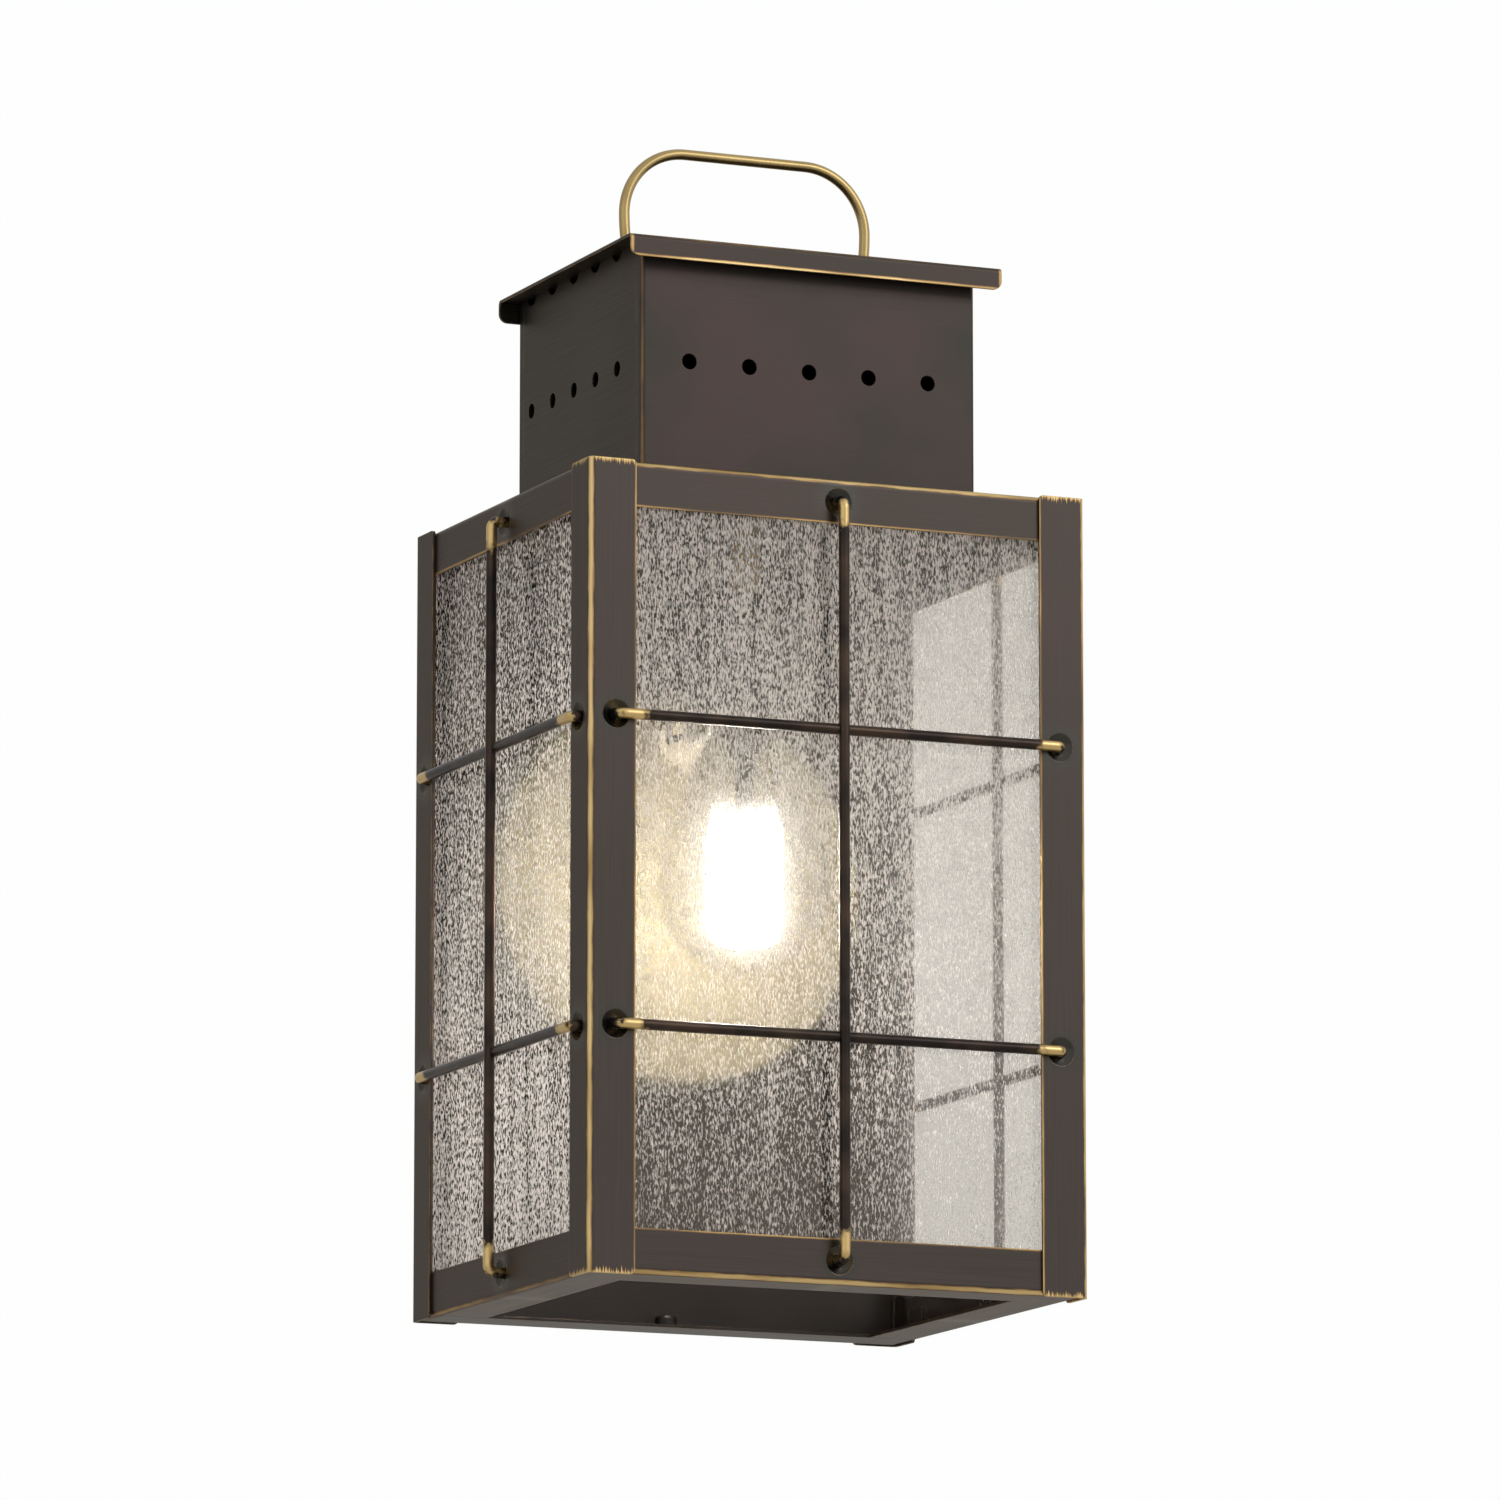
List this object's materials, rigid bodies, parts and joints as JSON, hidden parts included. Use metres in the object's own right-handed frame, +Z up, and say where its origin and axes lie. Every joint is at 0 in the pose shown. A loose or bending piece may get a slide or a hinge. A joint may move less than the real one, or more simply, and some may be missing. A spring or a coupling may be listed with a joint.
{
  "type": "wall lantern",
  "caption": "Square wall lantern: bronze angle frame, textured glass, crossed guard rods, pierced vent box, flat roof, brass carrying loop and one screw-in lamp.",
  "frame": {"origin": "centre of the two box screw slots of the wall strap, on the wall plane", "axes": "+X to the right seen from the front, +Y into the wall, +Z up; the front faces -Y"},
  "size_m": [0.1884, 0.1572, 0.3922],
  "materials": {
    "bronze_sheet": "dark bronze patina over brushed brass, edges rubbed through to the brass",
    "bronze_inner": "dark bronze patina, less worn, on the inner sheet parts",
    "brass": "aged satin brass",
    "plated_steel": "zinc plated",
    "textured_glass": "clear glass with a fine streaked texture",
    "clear_glass": "clear and smooth",
    "lit_glass": "frosted inner bulb, lit",
    "lamp_base_metal": "rolled and plated",
    "solder": "dull solder",
    "black_insulator": "glossy black",
    "phenolic": "dark brown phenolic moulding",
    "cream_coat": "cream powder coat, a reflector behind the lamp",
    "orange_plastic": "moulded",
    "black_insulation": "wire insulation",
    "white_insulation": "wire insulation",
    "black_rubber": "matte",
    "pale_nylon": "moulded nylon bushing",
    "green_screw": "green earthing screw"
  },
  "bodies": {
    "lantern": {"post_front_left": "bronze_sheet", "post_front_right": "bronze_sheet", "post_back_left": "bronze_sheet", "post_back_right": "bronze_sheet", "foot_rail_front": "bronze_sheet", "foot_rail_left": "bronze_sheet", "foot_rail_right": "bronze_sheet", "head_rail_front": "bronze_sheet", "head_rail_left": "bronze_sheet", "head_rail_right": "bronze_sheet", "back_panel": "bronze_inner", "top_plate": "bronze_inner", "pane_front": "textured_glass", "pane_left": "textured_glass", "pane_right": "textured_glass", "glass_clips": "bronze_inner", "rod_front_upright": "bronze_sheet", "rod_front_upper": "bronze_sheet", "rod_front_lower": "bronze_sheet", "rod_left_upright": "bronze_sheet", "rod_left_upper": "bronze_sheet", "rod_left_lower": "bronze_sheet", "rod_right_upright": "bronze_sheet", "rod_right_upper": "bronze_sheet", "rod_right_lower": "bronze_sheet", "vent_front": "bronze_sheet", "vent_back": "bronze_sheet", "vent_left": "bronze_sheet", "vent_right": "bronze_sheet", "vent_screws": "plated_steel", "roof": "bronze_sheet", "carrying_loop": "brass", "loop_nuts": "plated_steel", "box_pan": "cream_coat", "pan_rivets": "bronze_inner", "wall_strap": "plated_steel", "wall_studs": "plated_steel", "stud_nuts": "plated_steel", "cap_nuts": "brass", "earth_screw": "green_screw", "foot_screw": "bronze_inner", "wire_connectors": "orange_plastic", "lead_live": "black_insulation", "lead_neutral": "white_insulation", "plate_bushing": "black_rubber", "pan_bushing": "pale_nylon", "nipple": "brass", "nipple_nuts": "plated_steel", "nipple_washer": "plated_steel", "holder_cap": "bronze_sheet", "holder_body": "phenolic", "screw_shell": "brass", "centre_contact": "brass"},
    "contact_tip": {"lamp_tip": "solder"},
    "lamp": {"lamp_insulator": "black_insulator", "lamp_base": "lamp_base_metal", "lamp_stem": "clear_glass", "lamp_core": "lit_glass", "lamp_glass": "clear_glass"}
  },
  "joints": [
    {"name": "lamp_travel", "type": "slide", "parent": "lantern", "child": "contact_tip", "axis": [0, 0, -1], "range_m": [0, 0.0182]},
    {"name": "lamp_turn", "type": "hinge", "parent": "contact_tip", "child": "lamp", "pos_m": [0, -0.0744, 0.03], "axis": [0, 0, -1], "range_deg": [0, 1800]}
  ],
  "couplings": [
    {"joint": "lamp_travel", "follows": "lamp_turn", "m_per_rad": 0.0005776}
  ]
}
